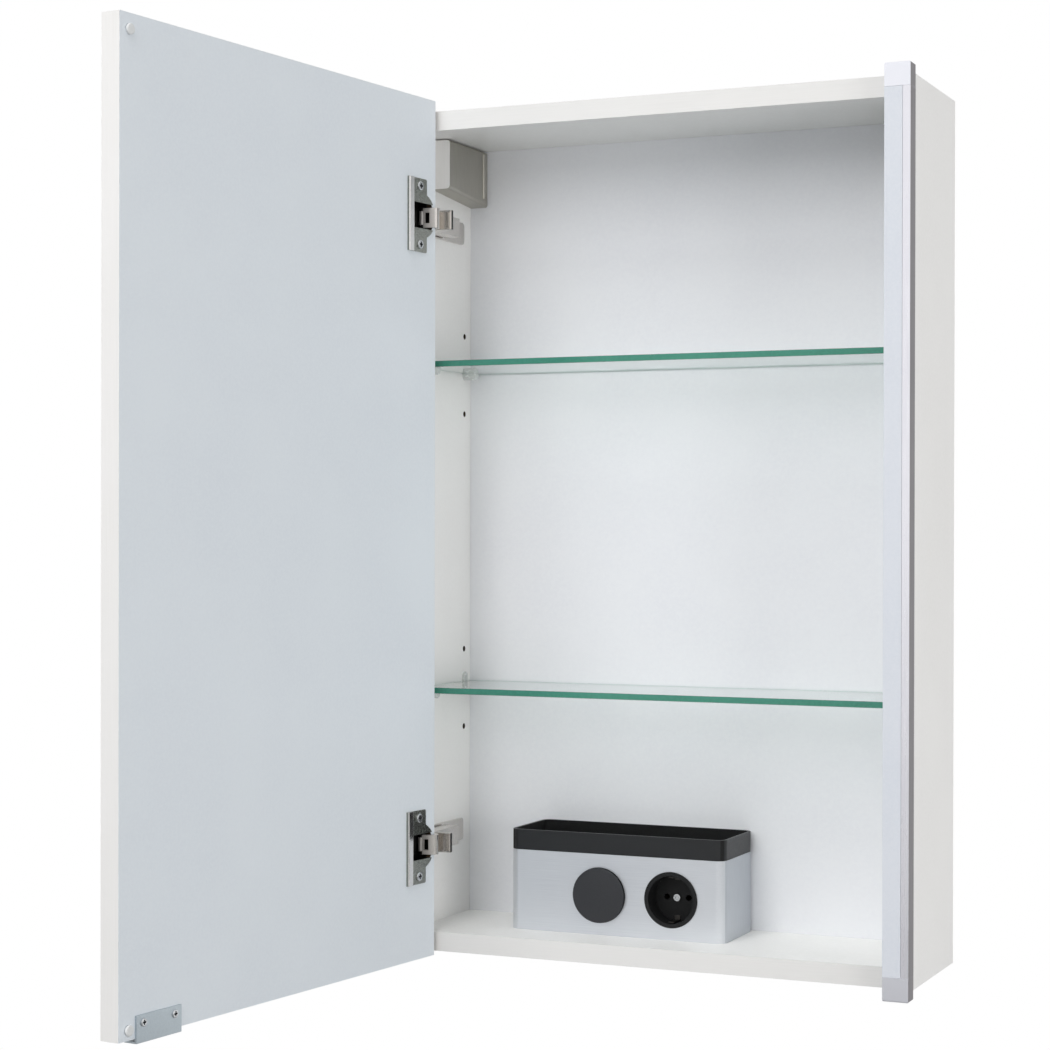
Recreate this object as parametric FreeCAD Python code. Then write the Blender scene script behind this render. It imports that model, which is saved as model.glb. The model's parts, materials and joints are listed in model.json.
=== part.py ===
import FreeCAD, Part
import math
import os

# Lighted mirror cabinet, in millimetres, +Z up.
# The wall is the plane y = 0 and the cabinet stands out from it towards -Y.
# Heights below are measured from the middle of the carcass; every piece is
# lowered at the end, so that the origin is the middle of the four wall screws.
# The door is drawn shut and then swung open, because open is its resting pose.

# Carcass
width = 446.0
height = 700.0
depth = 126.0
board = 16.0
edge_band = 1.0
dowel_r = 4.0
dowel_in_side = 12.0
dowel_in_board = 18.0
dowel_y = (-35.0, -95.0)
half_width = width / 2
half_height = height / 2
inner_x = half_width - board
inner_z = half_height - board
panel_front = edge_band - depth

# Back panel, held in a groove
back_front = -10.0
back_rear = -6.0
groove_depth = 6.0
groove_slack = 0.1
grommet_x = -40.0
grommet_z = -300.0
grommet_r = 8.0
cable_r = 5.0

# Glass shelves and their clips
glass = 5.0
glass_y = (-117.0, -11.0)
glass_half_length = 205.0
clip_z = {"upper": 137.0, "lower": -137.0}
glass_lift = 1.0
clip_y = (-22.5, -98.0)
clip_r = 4.3
clip_round = 1.2
clip_reach = 12.0
clip_tab_half = 3.6
clip_tab_rise = 8.0
clip_pin_r = 2.5
clip_pin_length = 8.0
pin_hole_depth = 9.0
pin_hole_step = 34.0

# Lamps on the front edges of the side panels
lamp_width = 20.5
lamp_depth = 15.0
lamp_half_length = 357.5
cap_height = 18.5
lamp_wall = 1.5
lamp_lip = 6.0
diffuser_wall = 1.6
lamp_screw_x = 215.0
lamp_screw_z = (-300.0, 0.0, 300.0)
led_pitch = 33.3
led_count = 20
lamp_back = -depth
lamp_front = -depth - lamp_depth
lamp_inner_x = half_width - lamp_width
cap_z = lamp_half_length - cap_height

# Door: board, mirror on its outer face, edging around both
door_width = 397.0
door_height = 710.0
door_rise = 2.5
door_board = 13.0
mirror = 3.0
door_edge = 1.2
door_gap = 3.0
open_angle = 96.9
door_edge_x = -door_width / 2
door_inner_y = -depth - door_gap
door_z = (door_rise - door_height / 2, door_rise + door_height / 2)
door_thickness = door_board + mirror

# Hinges: the pin is this far from the door's edge and below its inner face
hinge_z = {"upper": 260.0, "lower": -260.0}
pin_from_edge = 7.0
pin_below_face = 8.5
pin_x = door_edge_x + pin_from_edge
pin_y = door_inner_y - pin_below_face
pin_r = 1.5
pin_half_length = 9.5
lug_gap = 0.3
pin_play = 0.05
cup_s = 20.0
cup_r = 17.5
cup_wall = 0.8
cup_depth = 12.2
cup_floor = 0.7
flange_s = (14.2, 41.6)
flange_half = 30.3
flange = 1.0
rib_s = (34.5, 41.6)
rib = 1.6
cup_screw_s = 24.5
cup_screw_z = 24.0
cup_mouth_half = 10.5
eye_half = 5.7
eye_r = 2.6
link_half = 8.2
hook_inner_r = 11.6
hook_outer_r = 14.6
hook_end_deg = 75.0
head_half = 8.3
arm_half = 8.0
arm_sheet = 1.5
arm_top = 1.5
arm_y = (14.5, 68.7)
plate = 2.5
plate_half = 9.5
plate_y = (-112.0, -28.4)
plate_screw_x = plate - inner_x - 1.9
plate_screw_y = (-77.0, -45.0)
plate_screw_r = 3.6
ridge_half = 5.3
ridge_end_y = -84.0

# Bumpers and finger pull on the inner face of the door
bumper = 2.6
bumper_r = 4.0
bumper_s = 387.0
bumper_z = (346.0, -345.3)
pull_s = (330.6, 379.6)
pull_z = (-356.0, -336.4)
pull_sheet = 1.5
pull_reach = 10.0
pull_screw_z = -342.0
pull_screw_half = 17.0

# Socket box on the bottom panel
box_x = (-134.0, 56.0)
box_y = (-84.5, -11.0)
box_bottom = -inner_z
box_top = -267.0
box_wall = 2.0
box_corner = 8.0
tray_top = -250.0
tray_wall = 2.2
tray_floor = 3.0
tray_lip = 4.0
plate_r = 23.0
plate_proud = 1.0
barrel_r = 21.4
fitting_z = -301.0
switch_x = -53.0
socket_x = 10.0
recess_r = 19.5
recess_depth = 17.5
contact_half = 9.5
contact_r = 2.5
bezel_proud = 0.6
button_r = 20.0
button_cap_r = 22.7
button_cap = 1.9
button_crown = 0.8
button_proud = 4.1
stem_r = 3.0

# Wall hangers: one in each upper corner
hang_height = 310.0
hanger_x = 198.0
wall_hole_r = 2.75
wall_hole_half = 13.0
cover_x = (190.0, inner_x)
cover_y = (-88.0, back_front)
cover_rise = 23.0
cover_drop_front = 18.5
cover_drop_rear = 25.0
cover_round = 3.0
cover_wall = 1.5
cover_bead_r = 2.4
cover_bead_y = -19.5


def vec(x, y, z):
    """Return a vector."""
    return FreeCAD.Vector(x, y, z)


def box(x, y, z):
    """Return a box that spans three pairs of limits."""
    size = [abs(pair[1] - pair[0]) for pair in (x, y, z)]
    return Part.makeBox(*size, vec(min(x), min(y), min(z)))


def rod(start, end, radius):
    """Return a cylinder from one point to another."""
    axis = vec(*end) - vec(*start)
    return Part.makeCylinder(radius, axis.Length, vec(*start), axis)


def rounded_box(x, y, z, radius, axis):
    """Return a box whose edges along an axis ("x", "y" or "z") are rounded."""
    solid = box(x, y, z)
    along = [e for e in solid.Edges if abs(getattr(e.tangentAt(e.FirstParameter), axis)) > 0.9]
    return solid.makeFillet(radius, along)


def on_side(x, side):
    """Return limits along X on the right (side = 1) or mirrored to the left (side = -1)."""
    return x if side > 0 else (-x[1], -x[0])


def save(node, solids):
    """Write the solids of one node, lowered into the frame of the part."""
    shape = solids[0] if len(solids) == 1 else Part.makeCompound(solids)
    shape.translated(vec(0, 0, -hang_height)).exportStep("parts/" + node + ".step")


def save_on_door(node, solids):
    """Swing solids that are drawn on the shut door open, and write them."""
    axis = vec(0, 0, 1)
    save(node, [s.rotated(vec(pin_x, pin_y, 0), axis, -open_angle) for s in solids])


def door_box(s, u, z):
    """Return a box on the shut door: s from the hinge edge, u below the inner face."""
    return box(
        (door_edge_x + s[0], door_edge_x + s[1]),
        (door_inner_y - u[0], door_inner_y - u[1]),
        z,
    )


def door_rod(s, z, u, radius):
    """Return a cylinder across the shut door between two depths."""
    x = door_edge_x + s
    return rod((x, door_inner_y - u[0], z), (x, door_inner_y - u[1], z), radius)


def screw(start, direction, head_r, head, shank_r, shank):
    """Return a screw: a domed head with a cross recess on a point, and a shank below it."""
    cap = Part.makeCylinder(head_r, head)
    rim = [e for e in cap.Edges if e.Closed and e.CenterOfMass.z > head / 2]
    cap = cap.makeFillet(head * 0.6, rim)
    arm = (-0.6 * head_r, 0.6 * head_r)
    thin = (-0.2 * head_r, 0.2 * head_r)
    recess = (0.3 * head, head + 1)
    solid = cap.fuse(Part.makeCylinder(shank_r, shank, vec(0, 0, -shank)))
    solid = solid.cut([box(arm, thin, recess), box(thin, arm, recess)])
    turn = FreeCAD.Rotation(vec(0, 0, -1), vec(*direction))
    solid.Placement = FreeCAD.Placement(vec(*start), turn)
    return solid


# Carcass


def dowels(side, level):
    """Return the two dowels of one corner of the carcass."""
    z = level * (inner_z + board / 2)
    ends = (side * (inner_x + dowel_in_side), side * (inner_x - dowel_in_board))
    return [rod((ends[0], y, z), (ends[1], y, z), dowel_r) for y in dowel_y]


def groove():
    """Return the space of the groove that takes the back panel."""
    x = inner_x + groove_depth
    z = inner_z + groove_depth
    return box((-x, x), (back_front - groove_slack, back_rear + groove_slack), (-z, z))


def shelf_holes(side):
    """Return the holes for the shelf clips in one side panel."""
    levels = [z + k * pin_hole_step for z in clip_z.values() for k in (-1, 0, 1)]
    ends = (side * inner_x, side * (inner_x + pin_hole_depth))
    return [rod((ends[0], y, z), (ends[1], y, z), clip_pin_r) for y in clip_y for z in levels]


def side_panel(side):
    """Return one side panel with all its holes."""
    x = on_side((inner_x, half_width), side)
    panel = box(x, (panel_front, 0), (-half_height, half_height))
    cuts = [groove()] + shelf_holes(side) + hanger_pegs(side) + lamp_screws(side)
    cuts += dowels(side, 1) + dowels(side, -1)
    if side < 0:
        cuts += [s for z in hinge_z.values() for s in plate_screws(z)]
    return panel.cut(cuts)


def level_panel(level):
    """Return the top panel (level = 1) or the bottom panel (level = -1)."""
    z = (level * inner_z, level * half_height)
    panel = box((-inner_x, inner_x), (panel_front, 0), z)
    cuts = [groove()] + dowels(-1, level) + dowels(1, level)
    if level < 0:
        cuts += base_screws()
    return panel.cut(cuts)


def back_panel():
    """Return the back panel, open behind the hangers and for the cable."""
    x = inner_x + groove_depth - 0.5
    z = inner_z + groove_depth - 0.5
    panel = box((-x, x), (back_front, back_rear), (-z, z))
    cuts = [rod((grommet_x, -20, grommet_z), (grommet_x, 0, grommet_z), grommet_r)]
    for side in (-1, 1):
        window = (hang_height - 17.5, hang_height + 17.5)
        cuts.append(box(on_side((194.3, 206.0), side), (-20, 0), window))
    return panel.cut(cuts)


def edging():
    """Return the edge bands on the front edges of the four boards."""
    y = (-depth, panel_front)
    tall = (-half_height, half_height)
    bands = [box(on_side((inner_x, half_width), side), y, tall) for side in (-1, 1)]
    for level in (-1, 1):
        bands.append(box((-inner_x, inner_x), y, (level * inner_z, level * half_height)))
    holes = lamp_screws(-1) + lamp_screws(1)
    return [band.cut(holes) for band in bands]


def grommet():
    """Return the rubber ring in the cable hole of the back panel."""
    middle = rod((grommet_x, back_front, grommet_z), (grommet_x, back_rear, grommet_z), grommet_r)
    rear = rod((grommet_x, back_rear, grommet_z), (grommet_x, -4.5, grommet_z), grommet_r + 2)
    hole = rod((grommet_x, -20, grommet_z), (grommet_x, 0, grommet_z), cable_r)
    return middle.fuse(rear).cut(hole)


def make_carcass():
    """Write the boards of the carcass and what holds them together."""
    save("side_panel_left", [side_panel(-1)])
    save("side_panel_right", [side_panel(1)])
    save("top_panel", [level_panel(1)])
    save("bottom_panel", [level_panel(-1)])
    save("back_panel", [back_panel()])
    save("carcass_edging", edging())
    corners = [(side, level) for side in (-1, 1) for level in (-1, 1)]
    save("carcass_dowels", [d for side, level in corners for d in dowels(side, level)])
    save("cable_grommet", [grommet()])


# Shelves


def shelf_clip(side, y, z):
    """Return a clip: half-round jaw under the glass, collar, tab and pin at the panel."""
    wall = side * inner_x
    face = side * (glass_half_length + 0.2)
    jaw = rod((side * (inner_x - clip_reach), y, z), (wall, y, z), clip_r)
    tip = [e for e in jaw.Edges if e.Closed and abs(e.CenterOfMass.x) < inner_x - clip_reach + 0.1]
    jaw = jaw.makeFillet(clip_round, tip)
    bed = box(on_side((0, glass_half_length + 0.2), side), (y - 10, y + 10), (z + glass_lift, z + 10))
    top = z + glass_lift + glass + clip_tab_rise - clip_tab_half
    pieces = [
        box(on_side((abs(face), inner_x), side), (y - clip_tab_half, y + clip_tab_half), (z, top)),
        rod((face, y, top), (wall, y, top), clip_tab_half),
        rod((wall, y, z), (side * (inner_x + clip_pin_length), y, z), clip_pin_r),
    ]
    return jaw.cut(bed).multiFuse(pieces).removeSplitter()


def make_shelves():
    """Write the glass shelves and their clips."""
    for name, z in clip_z.items():
        low = z + glass_lift
        pane = rounded_box(
            (-glass_half_length, glass_half_length), glass_y, (low, low + glass), 2.0, "z"
        )
        save("glass_shelf_" + name, [pane])
        clips = [shelf_clip(side, y, z) for side in (-1, 1) for y in clip_y]
        save("shelf_supports_" + name, clips)


# Hinges


def arm_box(x, y, half, z):
    """Return a box on the arm, placed from the hinge pin."""
    return box((pin_x + x[0], pin_x + x[1]), (pin_y + y[0], pin_y + y[1]), (z - half, z + half))


def around_pin(x, y, z):
    """Return the point at a distance from the hinge pin."""
    return vec(pin_x + x, pin_y + y, z)


def polar(radius, angle_deg, z):
    """Return the point at an angle around the hinge pin."""
    angle = math.radians(angle_deg)
    return around_pin(radius * math.cos(angle), radius * math.sin(angle), z)


def link(z):
    """Return the sheet that leaves the cup with a slanted face and bends around the door's edge."""
    low = z - link_half
    slant = [around_pin(2.0, -2.35, low), around_pin(12.0, -0.7, low)]
    outer = [polar(hook_outer_r, angle, low) for angle in (14, 45, hook_end_deg)]
    inner = [polar(hook_inner_r, angle, low) for angle in (hook_end_deg, 40, 4.4)]
    last = around_pin(2.0, 0.4, low)
    outline = [
        Part.makeLine(*slant),
        Part.Arc(slant[1], around_pin(13.65, 0.95, low), outer[0]).toShape(),
        Part.Arc(*outer).toShape(),
        Part.makeLine(outer[-1], inner[0]),
        Part.Arc(*inner).toShape(),
        Part.makeLine(inner[-1], last),
        Part.makeLine(last, slant[0]),
    ]
    return Part.Face(Part.Wire(outline)).extrude(vec(0, 0, 2 * link_half))


def hook(z):
    """Return the end of the arm that turns on the pin: eye, neck, link and head."""
    low = vec(pin_x, pin_y, z - eye_half)
    eye = Part.makeCylinder(eye_r, 2 * eye_half, low, vec(0, 0, 1))
    neck = arm_box((0, 6.0), (-1.4, 0.9), eye_half, z)
    bar = arm_box((0, 5.0), (11.5, 18.0), arm_half - arm_sheet, z)
    head = arm_box((2.0, 19.0), (16.5, 20.5), head_half, z)
    head = head.makeFillet(0.8, head.Edges)
    window = arm_box((2.9, 7.4), (-4.0, 4.0), 4.4, z)
    return eye.multiFuse([neck, link(z), bar, head]).cut(window)


def hinge_arm(z):
    """Return the arm: hook and channel, clipped over the plate's ridge."""
    channel = arm_box((-11.5, arm_top), arm_y, arm_half, z)
    inside_y = (arm_y[0] - 1, arm_y[1] + 1)
    hollow = arm_box((-12.0, arm_top - arm_sheet), inside_y, arm_half - arm_sheet, z)
    bore_end = vec(pin_x, pin_y, z - 10)
    bore = Part.makeCylinder(pin_r + pin_play, 20, bore_end, vec(0, 0, 1))
    return channel.cut(hollow).fuse(hook(z)).cut(bore).removeSplitter()


def hinge_plate(z):
    """Return the mounting plate with the ridge that carries the arm."""
    x = (-inner_x, plate - inner_x)
    base = rounded_box(x, plate_y, (z - plate_half, z + plate_half), 4.0, "x")
    ridge_x = (x[1] - 0.5, pin_x + arm_top - arm_sheet)
    ridge = box(ridge_x, (plate_y[0], ridge_end_y), (z - ridge_half, z + ridge_half))
    pockets = [rod((plate_screw_x, y, z), (0, y, z), plate_screw_r) for y in plate_screw_y]
    return base.cut(pockets).fuse(ridge).cut(plate_screws(z)).removeSplitter()


def plate_screws(z):
    """Return the two screws of a mounting plate, sunk into it."""
    starts = [(plate_screw_x, y, z) for y in plate_screw_y]
    return [screw(start, (-1, 0, 0), plate_screw_r, 2.0, 2.0, 11.0) for start in starts]


def cup_screws(z):
    """Return the two screws of a cup, on the shut door."""
    x = door_edge_x + cup_screw_s
    y = door_inner_y + flange
    ends = (z - cup_screw_z, z + cup_screw_z)
    return [screw((x, y, end), (0, -1, 0), 3.8, 1.4, 1.75, 11.0) for end in ends]


def hinge_pin(z):
    """Return the pin that the arm turns on, on the shut door."""
    ends = (z - pin_half_length, z + pin_half_length)
    return rod((pin_x, pin_y, ends[0]), (pin_x, pin_y, ends[1]), pin_r)


def hinge_cup(z):
    """Return a cup with its flange, the cheeks beside its mouth and two lugs for the pin."""
    shell = door_rod(cup_s, z, (0, cup_depth), cup_r)
    rim = door_rod(cup_s, z, (-flange, 0), cup_r + 0.8)
    wings = rounded_box(
        (door_edge_x + flange_s[0], door_edge_x + flange_s[1]),
        (door_inner_y, door_inner_y + flange),
        (z - flange_half, z + flange_half),
        1.5,
        "y",
    )
    band = door_box(rib_s, (-flange - rib, 0), (z - flange_half, z + flange_half))
    crest = [e for e in band.Edges if e.Length > flange_half and e.CenterOfMass.y > door_inner_y + flange]
    band = band.makeFillet(1.0, crest)
    hollow = door_rod(cup_s, z, (-2 * flange, cup_depth - cup_floor), cup_r - cup_wall)
    lugs = [
        door_box(
            (5.6, 9.5),
            (6.3, cup_depth - 0.2),
            (z + side * (link_half + lug_gap), z + side * pin_half_length),
        )
        for side in (-1, 1)
    ]
    cheeks = door_rod(cup_s, z, (-flange, 0.6), cup_r - 0.2)
    mouth_z = (z - cup_mouth_half, z + cup_mouth_half)
    cheeks = cheeks.cut(door_box((0, 2 * cup_s), (-2 * flange, 2), mouth_z))
    notch = door_box((0, cup_s - 8.0), (-2 * flange, 4.5), mouth_z)
    cup = shell.multiFuse([rim, wings, band]).cut([hollow, notch]).multiFuse(lugs + [cheeks])
    return cup.cut(cup_screws(z) + [hinge_pin(z)]).removeSplitter()


def hinge_spring(z):
    """Return the leaf spring on the floor of a cup, on the shut door."""
    floor = cup_depth - cup_floor
    leaf = door_box((11.0, 24.0), (floor - 0.6, floor), (z - 8.0, z + 8.0))
    return leaf.cut(door_box((14.0, 21.0), (floor - 1, floor + 1), (z - 4.0, z + 4.0)))


def make_hinges():
    """Write the hinges: arms and plates on the carcass, cups on the door."""
    for name, z in hinge_z.items():
        save("hinge_arm_" + name, [hinge_arm(z)])
        save("hinge_plate_" + name, [hinge_plate(z)])
        save_on_door("hinge_cup_" + name, [hinge_cup(z)])
    levels = hinge_z.values()
    save("hinge_plate_screws", [s for z in levels for s in plate_screws(z)])
    save_on_door("hinge_pins", [hinge_pin(z) for z in levels])
    save_on_door("hinge_springs", [hinge_spring(z) for z in levels])
    save_on_door("hinge_cup_screws", [s for z in levels for s in cup_screws(z)])


# Door


def pull_screws():
    """Return the two screws of the finger pull, on the shut door."""
    middle = door_edge_x + sum(pull_s) / 2
    y = door_inner_y + pull_sheet
    places = (middle - pull_screw_half, middle + pull_screw_half)
    return [screw((x, y, pull_screw_z), (0, -1, 0), 3.0, 1.0, 1.5, 11.0) for x in places]


def finger_pull():
    """Return the bent pull: a leg on the door and a lip under its bottom edge."""
    leg = door_box(pull_s, (-pull_sheet, 0), pull_z)
    lip = door_box(pull_s, (-pull_sheet, pull_reach), (pull_z[0], pull_z[0] + pull_sheet))
    return leg.fuse(lip).cut(pull_screws()).removeSplitter()


def door_strips(s, z):
    """Return the four edging strips around the board and the mirror."""
    u = (0, door_thickness)
    upright = [(0, s[0]), (s[1], door_width)]
    level = [(door_z[0], z[0]), (z[1], door_z[1])]
    return [door_box(x, u, door_z) for x in upright] + [door_box(s, u, h) for h in level]


def make_door():
    """Write the door and what is fixed to it, apart from the hinges."""
    s = (door_edge, door_width - door_edge)
    z = (door_z[0] + door_edge, door_z[1] - door_edge)
    holes = [door_rod(cup_s, level, (0, cup_depth), cup_r) for level in hinge_z.values()]
    holes += [c for level in hinge_z.values() for c in cup_screws(level)] + pull_screws()
    save_on_door("door_board", [door_box(s, (0, door_board), z).cut(holes)])
    save_on_door("door_mirror", [door_box(s, (door_board, door_thickness), z)])
    save_on_door("door_edging", door_strips(s, z))
    dots = [door_rod(bumper_s, level, (-bumper, 0), bumper_r) for level in bumper_z]
    save_on_door("door_bumpers", dots)
    save_on_door("finger_pull", [finger_pull()])
    save_on_door("finger_pull_screws", pull_screws())


# Lamps


def lamp_screws(side):
    """Return the screws that hold one lamp on the front edge of its panel."""
    y = lamp_back - lamp_wall
    x = side * lamp_screw_x
    return [screw((x, y, z), (0, 1, 0), 3.0, 1.6, 1.75, 21.5) for z in lamp_screw_z]


def lamp_profile(side):
    """Return the aluminium profile: back wall, outer wall and front lip."""
    z = (-cap_z, cap_z)
    back = (lamp_back - lamp_wall, lamp_back)
    lip = (lamp_front, lamp_front + lamp_wall)
    walls = [
        box(on_side((half_width - lamp_wall, half_width), side), (lamp_front, lamp_back), z),
        box(on_side((half_width - lamp_lip, half_width), side), lip, z),
    ]
    base = box(on_side((lamp_inner_x + diffuser_wall + 0.2, half_width), side), back, z)
    return base.multiFuse(walls).cut(lamp_screws(side)).removeSplitter()


def lamp_diffuser(side):
    """Return the opal cover: a front strip and a strip on the inner side."""
    z = (-cap_z, cap_z)
    front_x = on_side((lamp_inner_x, half_width - lamp_lip - 0.2), side)
    front = box(front_x, (lamp_front, lamp_front + diffuser_wall), z)
    inner_x_pair = on_side((lamp_inner_x, lamp_inner_x + diffuser_wall), side)
    return front.fuse(box(inner_x_pair, (lamp_front, lamp_back), z)).removeSplitter()


def led_strip(side):
    """Return the strip of diodes on the back wall of the profile."""
    rear = lamp_back - lamp_wall
    x = lamp_inner_x + 6.0
    strip = box(on_side((x - 3, x + 3), side), (rear - 1.0, rear), (2 - cap_z, cap_z - 2))
    first = -led_pitch * (led_count - 1) / 2
    levels = [first + led_pitch * k for k in range(led_count)]
    y = (rear - 1.8, rear - 1.0)
    diodes = [box(on_side((x - 1.4, x + 1.4), side), y, (z - 1.75, z + 1.75)) for z in levels]
    return strip.multiFuse(diodes)


def lamp_cap(side, level):
    """Return one end cap with the plug that enters the profile."""
    x = on_side((lamp_inner_x, half_width), side)
    y = (lamp_front, lamp_back)
    cap = box(x, y, (level * cap_z, level * lamp_half_length))
    rim = [e for e in cap.Edges if abs(e.CenterOfMass.z) > lamp_half_length - 0.1]
    cap = cap.makeFillet(1.2, rim)
    plug_x = on_side((lamp_inner_x + 3, half_width - 3), side)
    plug = box(plug_x, (lamp_front + 2.5, lamp_back - 5), (level * cap_z, level * (cap_z - 5)))
    return cap.fuse(plug)


def make_lamps():
    """Write both lamps."""
    for name, side in (("left", -1), ("right", 1)):
        save("lamp_profile_" + name, [lamp_profile(side)])
        save("lamp_diffuser_" + name, [lamp_diffuser(side)])
        save("lamp_led_strip_" + name, [led_strip(side)])
        save("lamp_end_caps_" + name, [lamp_cap(side, level) for level in (-1, 1)])
    save("lamp_screws", lamp_screws(-1) + lamp_screws(1))


# Socket box


def front_rod(x, y, radius, z=fitting_z):
    """Return a cylinder across the front of the socket box."""
    return rod((x, y[0], z), (x, y[1], z), radius)


def box_shape(inset, z):
    """Return the rounded outline of the socket box, drawn in by an inset."""
    x = (box_x[0] + inset, box_x[1] - inset)
    y = (box_y[0] + inset, box_y[1] - inset)
    return rounded_box(x, y, z, box_corner - inset, "z")


def box_sleeve():
    """Return the aluminium sleeve with holes for switch, socket and cable."""
    sleeve = box_shape(0, (box_bottom, box_top))
    cuts = [box_shape(box_wall, (box_bottom - 1, box_top + 1))]
    cuts += [front_rod(x, (box_y[0] - 1, -70), barrel_r + 0.1) for x in (switch_x, socket_x)]
    cuts.append(rod((grommet_x, -20, grommet_z), (grommet_x, 0, grommet_z), cable_r + 1))
    return sleeve.cut(cuts)


def base_screws():
    """Return the four screws that hold the base on the bottom panel."""
    x = (box_x[0] + 9, box_x[1] - 9)
    y = (box_y[0] + 9, box_y[1] - 9)
    top = box_bottom + 2.5
    places = [(a, b, top) for a in x for b in y]
    return [screw(place, (0, 0, -1), 3.5, 1.8, 1.75, 12.5) for place in places]


def box_base():
    """Return the base plate inside the sleeve."""
    return box_shape(box_wall, (box_bottom, box_bottom + 2.5)).cut(base_screws())


def box_tray():
    """Return the tray on top of the box, with a lip that enters the sleeve."""
    outside = box_shape(0, (box_top, tray_top))
    lip = box_shape(box_wall + 0.2, (box_top - tray_lip, box_top))
    lip = lip.cut(box_shape(box_wall + 2.2, (box_top - tray_lip - 1, box_top)))
    hollow = box_shape(tray_wall, (box_top + tray_floor, tray_top + 1))
    return outside.fuse(lip).cut(hollow)


def socket_screw():
    """Return the socket-head screw in the middle of the socket."""
    y = box_y[0] - plate_proud + recess_depth
    head = front_rod(socket_x, (y - 2.5, y), 3.0).cut(front_rod(socket_x, (y - 3, y - 0.8), 1.5))
    return head.fuse(front_rod(socket_x, (y, y + 9), 1.6))


def socket_insert():
    """Return the round socket: plate, barrel, recess and contact holes."""
    face = box_y[0] - plate_proud
    floor = face + recess_depth
    insert = front_rod(socket_x, (face, box_y[0]), plate_r)
    insert = insert.fuse(front_rod(socket_x, (box_y[0], floor + 6), barrel_r))
    cuts = [front_rod(socket_x, (face - 1, floor), recess_r), socket_screw()]
    cuts += [front_rod(x, (floor - 1, floor + 7), contact_r) for x in contact_places()]
    return insert.cut(cuts)


def contact_places():
    """Return where the two contacts stand along X."""
    return (socket_x - contact_half, socket_x + contact_half)


def contact(x):
    """Return one brass contact tube behind the socket."""
    rear = box_y[0] - plate_proud + recess_depth + 6
    tube = front_rod(x, (rear, rear + 14), contact_r + 1)
    return tube.cut(front_rod(x, (rear - 1, rear + 12), contact_r))


def earth_clip(level):
    """Return one earth clip on the wall of the socket recess."""
    face = box_y[0] - plate_proud
    x = (socket_x - 2.5, socket_x + 2.5)
    inner = fitting_z + level * (recess_r - 1.6)
    strip = box(x, (face + 2, face + recess_depth), (inner, fitting_z + level * (recess_r - 0.6)))
    foot_z = (fitting_z + level * (recess_r - 5), fitting_z + level * (recess_r - 0.6))
    foot = box(x, (face + recess_depth - 1, face + recess_depth), foot_z)
    return strip.fuse(foot).removeSplitter()


def switch_bezel():
    """Return the round frame of the push switch."""
    face = box_y[0] - bezel_proud
    ring = front_rod(switch_x, (face, box_y[0]), plate_r)
    ring = ring.fuse(front_rod(switch_x, (box_y[0], -70), barrel_r))
    return ring.cut(front_rod(switch_x, (face - 1, -69), button_r + 0.4))


def switch_mechanism():
    """Return the switch body behind the button, with a bore for its stem."""
    seat = front_rod(switch_x, (-75.5, -70), button_r + 0.4)
    body = front_rod(switch_x, (-70, -54), 14.0)
    return seat.fuse(body).cut(front_rod(switch_x, (-76, -62), stem_r + 0.35))


def switch_button():
    """Return the push button: a crowned cap in front of the bezel, a guide and a stem."""
    face = box_y[0] - button_proud
    rear = face + button_cap
    cap = front_rod(switch_x, (face, rear), button_cap_r)
    crown_r = (button_cap_r**2 + button_crown**2) / (2 * button_crown)
    cap = cap.common(Part.makeSphere(crown_r, vec(switch_x, face + crown_r, fitting_z)))
    rim = [e for e in cap.Edges if e.Closed and face + 0.1 < e.CenterOfMass.y < rear - 0.1]
    cap = cap.makeFillet(0.6, rim)
    guide = front_rod(switch_x, (rear, -78.5), button_r)
    return cap.multiFuse([guide, front_rod(switch_x, (-78.5, -65), stem_r)]).removeSplitter()


def make_socket_box():
    """Write the socket box with switch, socket and LED driver."""
    save("socket_box_sleeve", [box_sleeve()])
    save("socket_box_base", [box_base()])
    save("socket_box_tray", [box_tray()])
    save("socket_box_screws", base_screws())
    save("socket_insert", [socket_insert()])
    save("socket_contacts", [contact(x) for x in contact_places()])
    save("socket_earth_clips", [earth_clip(level) for level in (-1, 1)])
    save("socket_centre_screw", [socket_screw()])
    save("switch_bezel", [switch_bezel()])
    save("switch_mechanism", [switch_mechanism()])
    save("switch_button", [switch_button()])
    driver_z = (box_bottom + 2.5, box_bottom + 27.5)
    driver = rounded_box((-112.0, 32.0), (-46.0, -18.0), driver_z, 3.0, "z")
    save("led_driver", [driver])


# Wall hangers


def hanger_pegs(side):
    """Return the two pegs of a hanger body in the side panel."""
    ends = (side * inner_x, side * (inner_x + 10))
    z = hang_height
    return [rod((ends[0], y, z), (ends[1], y, z), 4.0) for y in (-50.0, -74.0)]


def hanger_screws(side):
    """Return the two adjusting screws of a hanger."""
    x = side * hanger_x
    places = [(x, -83.0, hang_height + k * 4.5) for k in (-1, 1)]
    return [screw(place, (0, 1, 0), 3.0, 1.8, 2.0, 14.0) for place in places]


def hanger_body(side):
    """Return the block on the side panel that carries the hook."""
    z = (hang_height - 8.5, hang_height + 8.5)
    block = box(on_side((192.0, inner_x), side), (-83.0, -40.0), z)
    way = box(on_side((194.8, 201.2), side), (-62.0, -39.0), (hang_height - 1, hang_height + 6))
    return block.multiFuse(hanger_pegs(side)).cut([way] + hanger_screws(side))


def hanger_hook(side):
    """Return the bar through the back panel with a nose behind the wall plate."""
    x = on_side((195.0, 201.0), side)
    bar = box(x, (-60.0, -0.6), (hang_height - 0.8, hang_height + 5.5))
    return bar.fuse(box(x, (-2.2, -0.6), (hang_height - 6.5, hang_height))).removeSplitter()


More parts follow.
